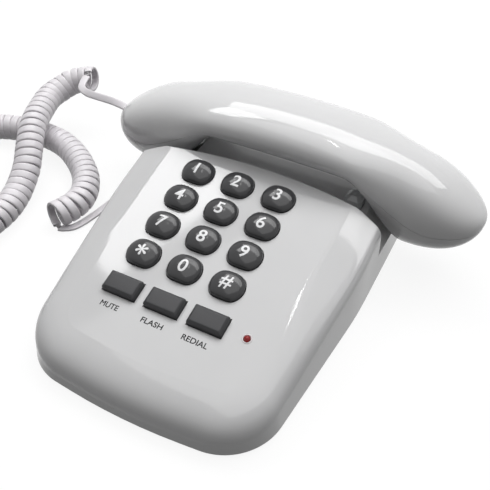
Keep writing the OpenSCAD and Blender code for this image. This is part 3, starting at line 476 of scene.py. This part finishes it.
def cord_rings():
    """Rings round the cord's line: a flat band with round edges, whose broad side turns with the coil."""
    ways, ease, opposite = cord_ways(), 8, -0.2
    broad_power, thin_power = 0.35, 0.5
    rings = []
    for i, p in enumerate(cord_path):
        ahead, here = ways[i]
        way = Vector((0, 0, 0))
        for k in range(-ease, ease + 1):
            other = ways[min(max(i + k, 0), len(ways) - 1)][1]
            way += other if other.dot(here) > opposite else -other
        way = (way - way.dot(ahead) * ahead).normalized()
        rise = ahead.cross(way)
        ring = []
        for k in range(band_sides):
            a = math.tau * (k + 0.5) / band_sides
            u, w = math.cos(a), math.sin(a)
            u = math.copysign(abs(u) ** broad_power, u)
            w = math.copysign(abs(w) ** thin_power, w)
            ring.append(p + band_w / 2 * u * way + band_t / 2 * w * rise)
        rings.append(ring)
    return rings


cord = hold("curly_cord", skin(cord_rings()), cord_grey, None,
            ["cord_handset_end", "cord_coil", "cord_base_end"], sharp=60)
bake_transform(cord)


# ---- Base moulding

front_y, front_sweep, front_bow_r = -base_d / 2, math.radians(5.3), 300
bow_y = front_y - front_bow_r * (1 / math.cos(front_sweep) - 1)
front_half = base_front_w / 2
front_corner_y = bow_y + math.tan(front_sweep) * front_half
base_points = [(-front_half, front_corner_y), (0, bow_y), (front_half, front_corner_y),
               (base_w / 2, side_turn_y), (base_w / 2, base_d / 2), (-base_w / 2, base_d / 2),
               (-base_w / 2, side_turn_y)]
base_radii = [front_corner_r, front_bow_r, front_corner_r, side_r, rear_corner_r, rear_corner_r, side_r]
base_steps = [22, 6, 22, 6, 12, 12, 6]

# How far in from the outline and how far under the deck the roll has come, from the wall to the flat
front_roll = [(0.9, 11), (1.3, 8), (2.6, 5.2), (4.8, 3), (8, 1.4), (12.5, 0.4), (roll_w, 0)]
side_roll = [(0.9, bevel_drop + 7), (1.2, bevel_drop + 3.2), (2.4, bevel_drop + 1), (4.8, bevel_drop * 0.86),
             (bevel_w - 2, bevel_drop * 0.14), (bevel_w - 0.2, 0.2), (bevel_w + 1.4, 0)]


def rounded_corner(p, q, s, radius, steps):
    """Points with outward normals round the corner q of a loop that turns left."""
    u, v = (p - q).normalized(), (s - q).normalized()
    half = math.acos(max(-1, min(1, u.dot(v)))) / 2
    centre = q + (u + v).normalized() * radius / math.sin(half)
    start = q + u * radius / math.tan(half) - centre
    first, turn = math.atan2(start.y, start.x), math.pi - 2 * half
    found = []
    for i in range(steps + 1):
        a = first + turn * i / steps
        d = Vector((math.cos(a), math.sin(a)))
        found.append((centre + radius * d, d))
    return found


def base_loop(step):
    """The base's outline as points with outward normals, no further apart than a step."""
    loop = []
    for i, (radius, steps) in enumerate(zip(base_radii, base_steps)):
        p, q, s = (Vector(base_points[(i + k) % len(base_points)]) for k in (-1, 0, 1))
        loop += rounded_corner(p, q, s, radius, steps)
    filled = []
    for i, a in enumerate(loop):
        b = loop[(i + 1) % len(loop)]
        count = max(1, math.ceil((b[0] - a[0]).length / step))
        for k in range(count):
            filled.append((a[0].lerp(b[0], k / count) + Vector((base_x, 0)), a[1].lerp(b[1], k / count)))
    return filled


def roll_at(stations, t):
    """The roll's place between its stations, on one smooth line."""
    i = min(int(t), len(stations) - 2)
    return between(*neighbours(stations, i), t - i)


def base_rings(foot, wall, loop, fineness):
    """Rings from the foot up over the roll to the flat of the deck, drawn in by a wall."""
    rings = [[Vector((*(p - wall * n), foot)) for p, n in loop]]
    for k in range((len(front_roll) - 1) * fineness + 1):
        front, side = roll_at(front_roll, k / fineness), roll_at(side_roll, k / fineness)
        ring = []
        for p, n in loop:
            s = front.lerp(side, n.x * n.x * smooth((p.y - side_roll_from) / side_roll_over))
            narrowed = mix(1, rear_roll_w / roll_w, smooth((p.y - cradle_y + narrow_before) / narrow_over))
            q = p - (s.x * narrowed + wall) * n
            ring.append(Vector((q.x, q.y, deck_z(q.y) - s.y - wall)))
        rings.append(ring)
    return rings


def cup_share(u):
    """0 under the handle, 1 at the two cups."""
    return smooth((abs(u) - cup_from) / cup_over)


def handset_under(u):
    """Height of the handset's underside at a share of its half length."""
    return handle_under - cup_depth * cup_share(u)


def cradle_front(x):
    return cradle_y - cradle_r + math.sqrt(cradle_r ** 2 - (x - base_x) ** 2)


def cradle_space(wall):
    """What the cradle takes out of the base, behind the curved edge of the deck and over the rear rim."""
    well_step, bridge_steps = 1.5, 28
    left = [-cradle_half, -well_out] + [well_step * i - well_out for i in range(1, 12)]
    left += [-well_in, -bridge_half]
    bridge = [2 * bridge_half * i / bridge_steps - bridge_half for i in range(1, bridge_steps)]
    back = base_d / 2 - rear_rim + wall

    def well_z(x):
        return handset_under(x / handset_half) - seat - wall

    def floor_z(x):
        if x <= bridge_half:
            return bridge_h - wall
        if x < well_in:
            return mix(bridge_h - wall, well_z(well_in), (x - bridge_half) / (well_in - bridge_half))
        return well_z(min(x, well_out))

    rings = []
    for x in left + bridge + [-x for x in reversed(left)]:
        front = cradle_front(max(-cradle_straight, min(cradle_straight, x))) - wall
        z = floor_z(abs(x))
        rings.append([Vector((x, *p)) for p in ((front, z), (back, z), (back, far), (front, far))])
    rim_cut_d, rim_cut_in = 40, 1
    rim_cut_y = base_d / 2 - rear_rim - rim_cut_in + rim_cut_d / 2
    return skin(rings), prism(rectangle(2 * far, rim_cut_d, (0, rim_cut_y)), rear_rim_h - wall, far)


def rear_edge(radius):
    """What rounds off the edge between the deck and the cradle."""
    reach, steps, arc_steps, clear_by, past = 57, 38, 6, 5, 1
    arc_start, arc_stop = math.pi / 2 + deck_slope, math.radians(8)
    rings = []
    for i in range(steps + 1):
        x = base_x - reach + 2 * reach * i / steps
        wall_y = cradle_front(x)
        y = wall_y - radius
        z = deck_z(y) - radius / math.cos(deck_slope)
        arc = [mix(arc_start, arc_stop, k / arc_steps) for k in range(arc_steps + 1)]
        ring = [Vector((x, y + radius * math.cos(a), z + radius * math.sin(a))) for a in arc]
        ring += [Vector((x, wall_y + past, ring[-1].z)), Vector((x, wall_y + past, z + clear_by)),
                 Vector((x, ring[0].y, z + clear_by))]
        rings.append(ring)
    return skin(rings)


def key_outline(grow, sides=48):
    """The outline of a digit key: round, flattened in front and behind, with soft corners."""
    round_r, flat_r, softness = key_w / 2 + grow, key_d / 2 + grow, 14
    points = []
    for i in range(sides):
        a = math.tau * i / sides
        across = abs(math.sin(a)) / flat_r
        radius = (round_r ** -softness + across ** softness) ** (-1 / softness)
        points.append((radius * math.cos(a), radius * math.sin(a)))
    return points


key_rows = (("1", "2", "3"), ("4", "5", "6"), ("7", "8", "9"), ("star", "0", "hash"))
key_places = {name: ((col - 1) * key_pitch_x, (1.5 - row) * key_pitch_y)
              for row, names in enumerate(key_rows) for col, name in enumerate(names)}
function_places = {name: ((col - 1) * key_pitch_x + fkey_shift, -fkey_v)
                   for col, name in enumerate(("mute", "flash", "redial"))}


def deck_holes():
    """The holes for the keys and the lamp, square to the deck."""
    fkey_hole = rectangle(fkey_w + 2 * key_gap, fkey_d + 2 * key_gap)
    outlines = [(key_outline(key_gap), place) for place in key_places.values()]
    outlines += [(fkey_hole, place) for place in function_places.values()]
    outlines += [(circle(lamp_d / 2 + slip, 32), lamp_place)]
    through = 6
    return [moved(prism(outline, -through, through), on_deck(place)) for outline, place in outlines]


def base_shell():
    """The upper moulding of the base, with a hole for each thing that comes through it."""
    outer = skin(base_rings(foot=shell_foot, wall=0, loop=base_loop(7), fineness=5))
    inner = skin(base_rings(foot=inner_foot, wall=base_wall, loop=base_loop(14), fineness=2))
    for part in cradle_space(0):
        outer = cut(outer, part)
    for part in cradle_space(base_wall):
        inner = cut(inner, part)
    shell = cut(cut(outer, inner), rear_edge(rear_edge_r))
    plunger_hole = plunger_w + 2 * seat
    upright = [
        (rectangle(plunger_hole, plunger_hole, (plunger_x, plunger_y)), plunger_hole_low, plunger_hole_high),
        (rectangle(line_hole_w, line_hole_d, (line_hole_x, base_d / 2)), line_hole_low, line_hole_high),
        (rectangle(cord_hole_w, cord_hole_d, (cord_hole_x, cord_hole_y)), cord_hole_low, cord_hole_high),
    ]
    shell = cut(shell, joined(deck_holes() + [prism(*hole) for hole in upright]))
    least = 0.02
    bmesh.ops.remove_doubles(shell, verts=shell.verts, dist=least)
    bmesh.ops.dissolve_degenerate(shell, edges=shell.edges, dist=least)
    return shell


moulding = hold("base_shell", base_shell(), shell_white, "base", ["base_top_shell"], sharp=32)
evened = moulding.modifiers.new("large_faces_stay_flat", "WEIGHTED_NORMAL")
evened.mode = "FACE_AREA"
evened.keep_sharp = True


# ---- Keys

# How far in from a key's outline and how far under its top the rounded edge has come, from the side up
key_edge = ((0.06, 0.75), (0.25, 0.45), (0.6, 0.2), (1.1, 0.05))
fkey_edge = ((0, 1.3), (0.12, 1.05), (1.0, 0.16), (1.2, 0.03), (1.5, 0))
# Heights of the rings up a digit key's side, and the shares of its outline that the crown's rings have
key_side, key_crown = (flange_top, 0.2, 0.8), (0.78, 0.66, 0.52, 0.36, 0.2, 0.07)
sign_heights = {"*": 6.3, "#": 6.8}


def dome_height(x, y):
    """Height of a digit key's crown over the deck."""
    r = math.hypot(x, y) / (key_w / 2)
    return key_h - crown_drop * r ** 2 - crown_edge_drop * r ** 6


def on_dome(p, drop=0):
    return Vector((p.x, p.y, dome_height(p.x, p.y) - drop))


def digit_key(name, place):
    outline, lip = ([Vector((*p, 0)) for p in key_outline(grow, 64)] for grow in (0, flange_lip))
    rings = [[p + z * UP for p in lip] for z in (flange_under, flange_top)]
    rings += [[p + z * UP for p in outline] for z in key_side]
    rings += [[on_dome(p * (1 - inset / p.length), drop) for p in outline] for inset, drop in key_edge]
    rings += [[on_dome(p * share) for p in outline] for share in key_crown]
    hold("digit_key_" + name, moved(skin(rings), on_deck(place)), key_grey, "key_%s_body" % name,
         ["key_" + name], sharp=50)


def lettering(text, width, height, bold=0, thickness=0):
    """Plain letters as a mesh of a given height in millimetres, and width if one is given."""
    capital_share = 0.73
    words = bpy.data.curves.new("letters", "FONT")
    words.body = text
    words.size = height / capital_share
    words.offset = bold
    words.extrude = thickness
    words.resolution_u = 6
    maker = bpy.data.objects.new("letters", words)
    bpy.context.scene.collection.objects.link(maker)
    graph = bpy.context.evaluated_depsgraph_get()
    bm = bmesh.new()
    drawn = maker.evaluated_get(graph)
    bm.from_mesh(drawn.to_mesh())
    drawn.to_mesh_clear()
    bpy.data.objects.remove(maker)
    bpy.data.curves.remove(words)
    low = min(v.co.y for v in bm.verts)
    high = max(v.co.y for v in bm.verts)
    left = min(v.co.x for v in bm.verts)
    right = max(v.co.x for v in bm.verts)
    bmesh.ops.translate(bm, vec=(-(left + right) / 2, -(low + high) / 2, 0), verts=bm.verts)
    tall = height / (high - low)
    bmesh.ops.scale(bm, vec=(width / (right - left) if width else tall, tall, 1), verts=bm.verts)
    bmesh.ops.remove_doubles(bm, verts=bm.verts, dist=1e-4)
    return bm


def numeral(name, sign, place):
    """A raised numeral that follows the crown of its key."""
    bm = lettering(sign, None, sign_heights.get(sign, numeral_h), bold=numeral_bold)
    lines_out = 5
    for axis in ((1, 0, 0), (0, 1, 0)):
        for k in range(-lines_out, lines_out + 1):
            bmesh.ops.bisect_plane(bm, geom=bm.verts[:] + bm.edges[:] + bm.faces[:],
                                   plane_co=Vector(axis) * k * numeral_grid, plane_no=axis, dist=1e-4)
    bmesh.ops.triangulate(bm, faces=bm.faces)
    top = bmesh.ops.extrude_face_region(bm, geom=bm.faces[:])["geom"]
    raised = {v for v in top if isinstance(v, bmesh.types.BMVert)}
    for v in bm.verts:
        v.co.z = dome_height(v.co.x, v.co.y) + (numeral_raised if v in raised else -numeral_sunk)
    bmesh.ops.recalc_face_normals(bm, faces=bm.faces)
    hold("numeral_" + name, moved(bm, on_deck(place)), numeral_white, "key_%s_body" % name,
         sharp=50)


for name, place in key_places.items():
    digit_key(name, place)
    numeral(name, {"star": "*", "hash": "#"}.get(name, name), place)


def soft_rectangle(width, depth, radius, steps=5):
    """A rectangle with round corners, always with the same number of points."""
    points = []
    for sx, sy, first in ((1, 1, 0), (-1, 1, 90), (-1, -1, 180), (1, -1, 270)):
        for i in range(steps + 1):
            a = math.radians(first + 90 * i / steps)
            points.append((sx * (width / 2 - radius) + radius * math.cos(a),
                           sy * (depth / 2 - radius) + radius * math.sin(a)))
    return points


def function_key(name, place):
    """A flat key with a bevelled top, on its flange."""
    sections = [(-flange_lip, flange_under), (-flange_lip, flange_top), (0, flange_top)]
    sections += [(inset, fkey_h - drop) for inset, drop in fkey_edge]
    rings = []
    for inset, z in sections:
        outline = soft_rectangle(fkey_w - 2 * inset, fkey_d - 2 * inset, fkey_corner_r)
        rings.append([Vector((x, y, z)) for x, y in outline])
    hold("function_key_" + name, moved(skin(rings), on_deck(place)), function_grey, "key_%s_body" % name,
         ["key_" + name], sharp=35)


for name, place in function_places.items():
    function_key(name, place)


def legend(word, place, width, weight=0.06):
    """A word printed on the deck, in strokes made heavier by drawing it four times a little apart."""
    bm = None
    for x, y in CORNERS:
        drawn = lettering(word, width - 2 * weight, legend_h - 2 * weight, thickness=legend_t)
        bmesh.ops.translate(drawn, vec=(x * weight, y * weight, 0), verts=drawn.verts)
        bm = cut(bm, drawn, "UNION") if bm else drawn
    hold("legend_" + word.lower(), moved(bm, on_deck(place)), legend_ink, "base", sharp=50)


for word, u, width in (("MUTE", -22, 9.2), ("FLASH", 0.3, 10.9), ("REDIAL", 21.8, 12.6)):
    legend(word, (u, legend_v), width)


# ---- Lamp and plunger

def spun(profile, place, steps=32):
    """A closed body from a profile of radii and heights, turned about an upright line."""
    bm = bmesh.new()
    line = [bm.verts.new((r, 0, z)) for r, z in profile]
    for p, q in zip(line, line[1:]):
        bm.edges.new((p, q))
    bmesh.ops.spin(bm, geom=bm.verts[:] + bm.edges[:], axis=(0, 0, 1), cent=(0, 0, 0), angle=math.tau,
                   steps=steps, use_merge=True)
    bmesh.ops.remove_doubles(bm, verts=bm.verts, dist=1e-3)
    bmesh.ops.recalc_face_normals(bm, faces=bm.faces)
    return moved(bm, place)


def ring_lamp():
    """The red lens, domed and on its flange, with a faint painted glow, and the rim round it, paler and
    pinker than the shell as a painted glint.
    """
    lens = [(0, lens_flange_under), (lens_flange_r, lens_flange_under), (lens_flange_r, lens_flange_top),
            (lens_r, lens_flange_top), (lens_r, 0)]
    lens += [(lens_r * math.cos(a * math.pi / 16), lens_r * math.sin(a * math.pi / 16)) for a in range(1, 9)]
    rim = circle(lamp_rim_t, 12, (lamp_rim_r, 0))
    rim += rim[:1]
    hold("ring_lamp_lens", spun(lens, on_deck(lamp_place)), lamp_red_painted_glow, "base", ["ring_lamp"], sharp=50)
    hold("ring_lamp_rim", spun(rim, on_deck(lamp_place)), rim_painted_glint, "base", sharp=60)


ring_lamp()


def plunger():
    """The clear hook plunger: a block with cut corners and a bevelled top, on its collar, arm and stem."""
    top = handset_under((plunger_x + plunger_w / 2) / handset_half) - seat
    bevel = ((0, 2.2), (1.4, 0.5), (2.2, 0))
    collar_top, overlap, corner_growth = plunger_foot + collar_t, 0.2, 0.6

    def section(inset, z):
        a, b = plunger_w / 2 - inset, plunger_w / 2 - plunger_corner - corner_growth * inset
        corners = [(a, -b), (a, b), (b, a), (-b, a), (-a, b), (-a, -b), (-b, -a), (b, -a)]
        return [Vector((x, y, z)) for x, y in corners]

    bm = skin([section(0, plunger_foot)] + [section(inset, top - drop) for inset, drop in bevel])
    collar = prism(rectangle(plunger_w + 2 * collar_lip, plunger_w), plunger_foot, collar_top)
    arm = prism(rectangle(arm_l, arm_w, (-arm_l / 2, 0)), plunger_foot, collar_top)
    prod = prism(rectangle(prod_w, prod_w, (prod_x, 0)), prod_low, plunger_foot + overlap)
    stem = prism(circle(stem_d / 2, 32), plunger_foot - stem_l, plunger_foot + overlap)
    for part in (collar, arm, prod, stem):
        bm = cut(bm, part, "UNION")
    hold("clear_plunger", moved(bm, Matrix.Translation((plunger_x, plunger_y, 0))), plunger_clear, "plunger",
         ["hook_plunger"], sharp=20)


plunger()


# ---- Handset

def handset_section(u):
    """Middle height, half height and half width of the handset at a share of its half length."""
    edge = max(0, abs(u) - nose_from) / nose_over
    k = math.sqrt(max(0.0, 1 - edge ** nose_power))
    top = handset_top - back_fall * abs(u) ** back_power
    under = handset_under(u)
    middle = mix((top + under) / 2, nose_z, nose_pull * (1 - k))
    return middle, k * (top - under) / 2, k * (handset_w - side_fall * u * u) / 2


def parting_share(u, rise):
    """Where the parting line lies between the middle and the top or bottom of a section, as a sine."""
    middle, half_h, _ = handset_section(u)
    line_z = mix(handle_under + parting_rise, parting_end_z, smooth((abs(u) - parting_from) / parting_over))
    return (line_z + rise - middle) / max(half_h, 1e-6)


def lower_reach(rise):
    """How far out the parting line still has some of the handset under it."""
    low, high = 0.8, 1.0
    for _ in range(40):
        middle = (low + high) / 2
        low, high = (middle, high) if parting_share(middle, rise) > -1 else (low, middle)
    return low


def handset_strip(upper):
    """One shell's outer face as rows of points, between the two sides of the parting line."""
    rise = parting_gap / 2 if upper else -parting_gap / 2
    low, steps, across = lower_reach(rise), 56, 64
    reach = 1 if upper else low
    stations = [reach * math.sin(math.pi / 2 * i / steps) for i in range(-steps, steps + 1)]
    if upper:
        stations = sorted(stations + [low, -low])
    power = 2 / section_power
    rows = []
    for u in stations:
        middle, half_h, half_w = handset_section(u)
        share = max(-1, min(1, parting_share(u, rise)))
        first = math.asin(math.copysign(abs(share) ** (1 / power), share))
        start, stop = (first, math.pi - first) if upper else (math.pi - first, math.tau + first)
        row = []
        for j in range(across + 1):
            a = mix(start, stop, j / across)
            c, s = math.cos(a), math.sin(a)
            narrowed = half_w * (1 - handle_taper * (1 - cup_share(u)) * max(0, -s))
            row.append(Vector((u * handset_half, handset_y + narrowed * math.copysign(abs(c) ** power, c),
                               middle + half_h * math.copysign(abs(s) ** power, s))))
        rows.append(row)
    return rows


def bores(diameter, sides, places, low, high):
    """Upright round holes of one size at several places."""
    return [prism(circle(diameter / 2, sides, place), low, high) for place in places]


def handset_shell(upper):
    """One shell of the handset with its wall and holes, from its outer face."""
    bm = skin(handset_strip(upper), closed=False)
    bmesh.ops.remove_doubles(bm, verts=bm.verts, dist=0.01)
    bmesh.ops.recalc_face_normals(bm, faces=bm.faces)
    middle = sum((f.calc_center_median() for f in bm.faces), Vector()) / len(bm.faces)
    outward = sum(f.normal.dot(f.calc_center_median() - middle) for f in bm.faces)
    if outward < 0:
        bmesh.ops.reverse_faces(bm, faces=bm.faces)
    bmesh.ops.solidify(bm, geom=bm.faces, thickness=handset_wall)
    plug_hole = rectangle(plug_hole_l, plug_hole_w, (-handset_half, handset_y))
    holes = [prism(plug_hole, handset_jack_z - plug_hole_h / 2, handset_jack_z + plug_hole_h / 2)]
    if not upper:
        ear = [(receiver_x, handset_y)] + circle(sound_ring, 6, (receiver_x, handset_y))
        mouth = [(microphone_x + microphone_pitch * k, handset_y) for k in (-1, 0, 1)]
        screws = [(side * screw_x, handset_y) for side in (-1, 1)]
        holes += bores(sound_d, 16, ear, low=10, high=24)
        holes += bores(microphone_hole_d, 16, mouth, low=10, high=24)
        holes += bores(screw_hole_d, 32, screws, low=40, high=50)
    return cut(bm, joined(holes))


for part, upper in (("upper", True), ("lower", False)):
    hold("handset_" + part, handset_shell(upper), handset_white, "handset",
         ["handset_%s_shell" % part], sharp=45)


# ---- Floor, lights and background

def background_mix(nodes, links, plain, bright):
    """White to the camera, in reflections and through clear parts, plain to everything else."""
    path = nodes.new("ShaderNodeLightPath")
    seen = path.outputs["Is Camera Ray"]
    for kind in ("Is Transmission Ray", "Is Glossy Ray"):
        either = nodes.new("ShaderNodeMath")
        either.operation = "MAXIMUM"
        links.new(seen, either.inputs[0])
        links.new(path.outputs[kind], either.inputs[1])
        seen = either.outputs[0]
    level = nodes.new("ShaderNodeMapRange")
    level.inputs["To Min"].default_value = plain
    level.inputs["To Max"].default_value = bright
    links.new(seen, level.inputs["Value"])
    return level.outputs["Result"]


def floor():
    """A pale floor, 12 m wide, that takes shadows and glows white to the camera."""
    bm = bmesh.new()
    bmesh.ops.create_grid(bm, x_segments=1, y_segments=1, size=6)
    mesh = bpy.data.meshes.new("floor")
    bm.to_mesh(mesh)
    bm.free()
    plane = bpy.data.objects.new("floor", mesh)
    bpy.context.scene.collection.objects.link(plane)
    material = bpy.data.materials.new("pale_floor")
    material.use_nodes = True
    nodes, links = material.node_tree.nodes, material.node_tree.links
    nodes.remove(nodes["Principled BSDF"])
    matt, glow, both = (nodes.new("ShaderNode" + kind) for kind in ("BsdfDiffuse", "Emission", "AddShader"))
    matt.inputs["Color"].default_value = (0.12, 0.12, 0.12, 1)
    links.new(background_mix(nodes, links, plain=0.0, bright=0.9), glow.inputs["Strength"])
    links.new(matt.outputs[0], both.inputs[0])
    links.new(glow.outputs[0], both.inputs[1])
    links.new(both.outputs[0], nodes["Material Output"].inputs["Surface"])
    mesh.materials.append(material)


def world():
    sky = bpy.data.worlds.new("studio")
    bpy.context.scene.world = sky
    sky.use_nodes = True
    nodes, links = sky.node_tree.nodes, sky.node_tree.links
    shone = background_mix(nodes, links, plain=0.10, bright=1.0)
    links.new(shone, nodes["Background"].inputs["Strength"])
    nodes["Background"].inputs["Color"].default_value = (1, 1, 1, 1)


def softbox(name, azimuth, elevation, distance, width, height, brightness):
    """A rectangular lamp at a bearing in degrees and a distance in metres, given by how bright it looks."""
    light = bpy.data.lights.new(name, "AREA")
    light.shape = "RECTANGLE"
    light.size, light.size_y = width, height
    light.energy = brightness * math.pi * width * height
    lamp = bpy.data.objects.new(name, light)
    bpy.context.scene.collection.objects.link(lamp)
    az, el = math.radians(azimuth), math.radians(elevation)
    away = Vector((math.sin(az) * math.cos(el), math.cos(az) * math.cos(el), math.sin(el)))
    lamp.location = away * distance + Vector((0, 0, 0.03))
    lamp.rotation_euler = away.to_track_quat("Z", "Y").to_euler()


floor()
world()
softbox("left_window", -59.5, 53.2, 1.4, width=0.40, height=0.34, brightness=7)
softbox("back_window", 4, 55, 1.5, width=2.0, height=0.56, brightness=4.2)
softbox("overhead", 40, 84, 1.6, width=1.6, height=1.6, brightness=1.35)
softbox("tube", -20, 74, 1.3, width=0.02, height=0.22, brightness=20)
